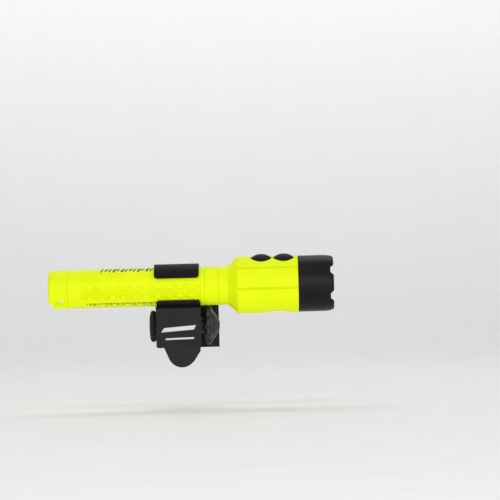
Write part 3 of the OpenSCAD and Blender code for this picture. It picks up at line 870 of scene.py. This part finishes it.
def tail():
    """The cap, the thread on its plug and the battery spring."""
    cap = moulded("tail_shell", "tail_cap", voxel=0.16, rounds=5, keep=0.4)
    put(cap, "tail", "lime_nylon", LIME, "tail_cap")
    plug_end = along("tail_cap")[1]
    turns, pitch, crest, depth = 3.0, 2.0, 10.66, 0.5
    start = plug_end - 1.6 - turns * pitch
    points = []
    for t in np.linspace(0, turns, 160):
        a = t * 2 * math.pi
        rise = crest - depth * (1 - smoothstep(0, 0.3, min(t, turns - t)))
        points.append((start + t * pitch, -rise * math.sin(a), rise * math.cos(a)))
    thread = helix("tail_thread", points, 0.22, LIGHT, 8)
    put(thread, "tail", "lime_nylon", LIME)
    contact_spring()


def contact_spring():
    """A conical spring whose end coils lie flat."""
    low, high = in_light("tail_spring")
    wire, turns, wide, narrowing = 0.35, 4.5, 5.4, 2.3
    first, last = low[0] + wire, high[0] - wire
    points = []
    for t in np.linspace(0, turns, 220):
        x = first + (last - first) * smoothstep(0.5, turns - 0.5, t)
        r = wide - narrowing * t / turns
        a = t * 2 * math.pi
        points.append((x, -r * math.sin(a), r * math.cos(a)))
    put(helix("battery_spring", points, wire, LIGHT, 10), "tail", "plated_steel", STEEL, "tail_spring")


# ------------------------------------------------------------------ mount

def lobed(name, outline, place, lobes, depth):
    """A hand knob: a revolved outline of (x, radius) with rounded lobes around its rim."""
    rim = max(r for x, r in outline)

    def flutes(x, r, a):
        hollow = (0.5 - 0.5 * np.cos(a * lobes)) ** 1.8
        return x, r - depth * hollow * smoothstep(0.62 * rim, rim, r)

    return lathe(name, divided(outline, 0.45), place, around=288, warp=flutes, sharp=45)


def tilt_axis():
    """Placement of a part revolved about the tilt bolt."""
    return Matrix.Translation(Vector(JOINTS["tilt"]["pos_m"]))


KNOB_BORE = 2.75        # a little wider than the bolt
KNOB_BORE_END = 2.8     # how far the blind end of the bore is from the knob's face


def knob():
    """A domed knob with two rings on its face, a small boss at its middle and a hub behind."""
    low, high = along("tilt_knob")
    rim = girth("tilt_knob")
    back, hub = high - 10.7, 5.2
    outline = rounded([
        (low, KNOB_BORE, 0), (low, hub, 0.25), (back, hub, 0.4), (back, 6.6, 0.4),
        (back + 0.5, 10.0, 1.0), (back + 1.5, rim - 0.9, 0.6), (back + 2.3, rim, 0.8),
        (back + 4.1, rim, 0.8), (back + 5.0, rim - 0.9, 0.6), (high - 4.5, 10.4, 0.4),
        (high - 4.7, 9.9, 0.3), (high - 4.0, 9.4, 0.3), (high - 2.4, 7.3, 0.4), (high - 2.7, 6.8, 0.3),
        (high - 1.9, 6.2, 0.3), (high - 1.1, 4.4, 0.4), (high - 1.2, 3.6, 0.3), (high - 0.3, 3.2, 0.4),
        (high, 1.6, 0.8), (high, 0.0, 0)], 0.3)
    outline += [(high - KNOB_BORE_END, 0.0), (high - KNOB_BORE_END, KNOB_BORE)]
    put(lobed("knob", outline, tilt_axis(), 9, 1.5), "knob", "black_nylon", KNOB, "tilt_knob")


def nut():
    """A low lobed nut on a round hub, with a dished outer face."""
    low, high = along("tilt_nut")
    rim = girth("tilt_nut")
    rim_end, hub, dish = high - 1.6, 5.0, low + 0.35
    outline = rounded([
        (high, 0.0, 0), (high, hub, 0.3), (rim_end, hub, 0.3), (rim_end, rim - 2.0, 0.5),
        (rim_end - 0.5, rim - 0.7, 0.5), (rim_end - 1.1, rim, 0.6), (low + 1.5, rim, 0.7),
        (low + 0.6, rim - 1.2, 0.7), (low, rim - 4.0, 1.0), (dish, 4.2, 0.5), (dish, 0.0, 0)], 0.3)
    put(lobed("lock_nut", outline, tilt_axis(), 9, 1.1), "yoke", "black_nylon", BLACK, "tilt_nut")


def clip():
    """The jaws, the lever plate and their liners."""
    body = moulded("clip_jaw", "clip_body", voxel=0.2, rounds=5)
    put(body, "clip", "black_nylon", JAW, "clip_body")
    liner = moulded("jaw_liner", "clip_liner", voxel=0.15, rounds=3)
    put(liner, "clip", "black_rubber", RUBBER, "clip_liner")
    plate = moulded("lever_plate", "lever", voxel=0.2, rounds=5)
    carved(plate, lip_cutter(-1), lip_cutter(1))
    put(plate, "lever", "black_nylon", BLACK, "lever")
    pad = moulded("lever_pad", "lever_liner", voxel=0.15, rounds=3)
    put(pad, "lever", "black_rubber", RUBBER, "lever_liner")
    torsion_spring()
    lever_marks()


def torsion_spring():
    """The lever's return spring, coiled about its pin."""
    low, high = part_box("lever_spring")
    pivot = Vector(JOINTS["lever_open"]["pos_m"])
    wire, radius, turns = 0.5, 2.6, 5
    first, last = low.x / MM + wire, high.x / MM - wire
    points = []
    for t in np.linspace(0, turns, 200):
        a = t * 2 * math.pi
        points.append((first + (last - first) * t / turns, -radius * math.sin(a), radius * math.cos(a)))
    piece = helix("lever_coil", points, wire, Matrix.Translation((0, pivot.y, pivot.z)), 10)
    put(piece, "clip", "plated_steel", STEEL, "lever_spring")


def lip_cutter(side):
    """The waste outside a rounded upper corner of the lower jaw, seen along Y."""
    low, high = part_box("lever")
    top = high.z / MM
    edge = high.x / MM if side > 0 else low.x / MM + 0.5
    radius, beyond = 2.2, 2.0
    arc = [(edge - side * radius * (1 - math.sin(t)), top - radius * (1 - math.cos(t)))
           for t in np.linspace(0, math.pi / 2, 8)]
    outline = arc + [(edge + side * beyond, top - radius), (edge + side * beyond, top + beyond),
                     (edge - side * radius, top + beyond)]
    outline = outline if side > 0 else outline[::-1]
    return prism("lip_waste", outline, 28.0, 40.0, Matrix.Rotation(math.pi / 2, 4, "X"), 0.0, 1)


def lever_marks():
    """A plain slanted white bar and a thin one below it on the lever's flat face."""
    points = [v.co for v in frame["nodes"]["lever"].data.vertices]
    face = min(p.y for p in points if p.z > -0.017) / MM
    shapes = [[(-17.2, -8.9), (4.6, -7.4), (6.2, -4.5), (-15.0, -6.0)],
              [(-14.6, -14.0), (4.2, -13.6), (5.0, -12.4), (-13.8, -12.8)]]
    turn = Matrix.Rotation(math.pi / 2, 4, "X")
    for name, shape in zip(("lever_bar", "lever_line"), shapes):
        bar = prism(name, rounded(shape, 0.3), -face - 0.05, -face + 0.03, turn, 0.02, 1)
        put(bar, "lever", "black_nylon", WHITE_INK)


def mount():
    """The plate on the helmet and the fork that turns on it."""
    base = moulded("base_plate", "helmet_base", voxel=0.22, rounds=4)
    put(base, "base", "black_nylon", BLACK, "helmet_base")
    fork = moulded("yoke_fork", "yoke", voxel=0.22, rounds=5)
    put(fork, "yoke", "black_nylon", BLACK, "yoke")


# ------------------------------------------------------------------ CAD nodes that stay

def dressed(node, material, bevel=0.0):
    """A CAD node that keeps its shape, with a material and, where asked, softened edges."""
    piece = frame["nodes"][node]
    piece.data.materials.clear()
    piece.data.materials.append(material)
    if bevel:
        weld = piece.modifiers.new("weld", "WELD")
        weld.merge_threshold = 1e-6
        edge = piece.modifiers.new("edge", "BEVEL")
        edge.width = bevel * MM
        edge.segments = 2
        edge.limit_method = "ANGLE"
        edge.angle_limit = math.radians(35)


def carried_over():
    """Gives each part that keeps its CAD shape a material."""
    for node in ("neck_o_ring", "bezel_o_ring", "tail_o_ring"):
        dressed(node, RUBBER)
    for node in ("led_board", "flood_board", "control_board"):
        dressed(node, BOARD, 0.08)
    dressed("heat_sink", ALUMINIUM, 0.15)
    for node in ("front_contact", "tail_contact"):
        dressed(node, BRASS, 0.08)
    for node in ("button_switches", "swivel_screw", "swivel_washer",
                 "tilt_bolt", "tilt_washer", "lever_pin"):
        dressed(node, STEEL, 0.12)
    for node in ("aa_cell_rear", "aa_cell_middle", "aa_cell_front"):
        dressed(node, WRAP, 0.15)
    dressed("battery_carrier", BLACK, 0.15)
    dressed("flood_led", PHOSPHOR, 0.08)
    dressed("helmet_pad", PAD, 0.25)


# ------------------------------------------------------------------ studio

def area_light(name, place, size, power):
    """A white soft box that faces the origin."""
    data = bpy.data.lights.new(name, "AREA")
    data.shape = "RECTANGLE"
    data.size, data.size_y = size
    data.energy = power
    lamp = bpy.data.objects.new(name, data)
    lamp.location = place
    lamp.rotation_euler = (-Vector(place)).to_track_quat("-Z", "Y").to_euler()
    bpy.context.scene.collection.objects.link(lamp)


def studio():
    """An even white surround and four soft boxes."""
    world = bpy.data.worlds.new("studio")
    world.use_nodes = True
    surround = world.node_tree.nodes["Background"]
    surround.inputs["Color"].default_value = (1, 1, 1, 1)
    surround.inputs["Strength"].default_value = 0.24
    bpy.context.scene.world = world
    bpy.context.scene.view_settings.view_transform = "Standard"
    area_light("key", (0.0, -1.5, 0.36), (1.4, 0.9), 11.0)
    area_light("front_top", (0.0, -0.5, 1.02), (0.9, 0.45), 1.6)
    area_light("side", (1.1, -0.75, 0.12), (0.5, 0.5), 2.2)
    area_light("rim", (0.0, 0.35, 0.8), (0.9, 0.3), 1.5)


def backdrop():
    """A pale floor that sweeps up into a bright wall."""
    material, surface, coords = shader("backdrop_white")
    grain = noise(material, coords, 40.0, 3.0)
    tint = ramp(material, grain, [(0.3, (0.84, 0.84, 0.84)), (0.7, (0.87, 0.87, 0.87))])
    material.node_tree.links.new(tint, surface.inputs["Base Color"])
    surface.inputs["Roughness"].default_value = 0.7
    split = material.node_tree.nodes.new("ShaderNodeSeparateXYZ")
    material.node_tree.links.new(coords, split.inputs["Vector"])
    rise = levels(material, split.outputs["Z"], 0.12, 0.42, -0.05, 0.35)
    surface.inputs["Emission Color"].default_value = (1, 1, 1, 1)
    material.node_tree.links.new(rise, surface.inputs["Emission Strength"])
    floor_z, wall_y, curve, half = -60.0, 1100.0, 500.0, 3000.0
    path = [(-half, floor_z)]
    path += [(wall_y - curve + curve * math.sin(t), floor_z + curve - curve * math.cos(t))
             for t in np.linspace(0, math.pi / 2, 24)]
    path.append((wall_y, half))
    verts = [(side * half, y, z) for y, z in path for side in (-1, 1)]
    faces = [[2 * i, 2 * i + 1, 2 * i + 3, 2 * i + 2] for i in range(len(path) - 1)]
    sweep = solid("backdrop", verts, faces)
    sweep.data.materials.append(material)


def camera():
    """A long lens level with the light, rolled so that the light rises a little to the right."""
    place, roll = (0.0431, -1.624, 0.0442), math.radians(-1.5)
    data = bpy.data.cameras.new("camera")
    data.sensor_width = 36.0
    data.lens = 172.8
    data.clip_end = 20.0
    view = bpy.data.objects.new("camera", data)
    view.matrix_world = (Matrix.Translation(place) @ Matrix.Rotation(math.pi / 2, 4, "X")
                         @ Matrix.Rotation(roll, 4, "Z"))
    bpy.context.scene.collection.objects.link(view)
    bpy.context.scene.camera = view


handle()
handle_marks()
collar()
head()
bezel()
button("button_rear", "rear_button", "rear_key")
button("button_front", "front_button", "front_key")
optics()
tail()
knob()
nut()
clip()
mount()
carried_over()
studio()
backdrop()
camera()
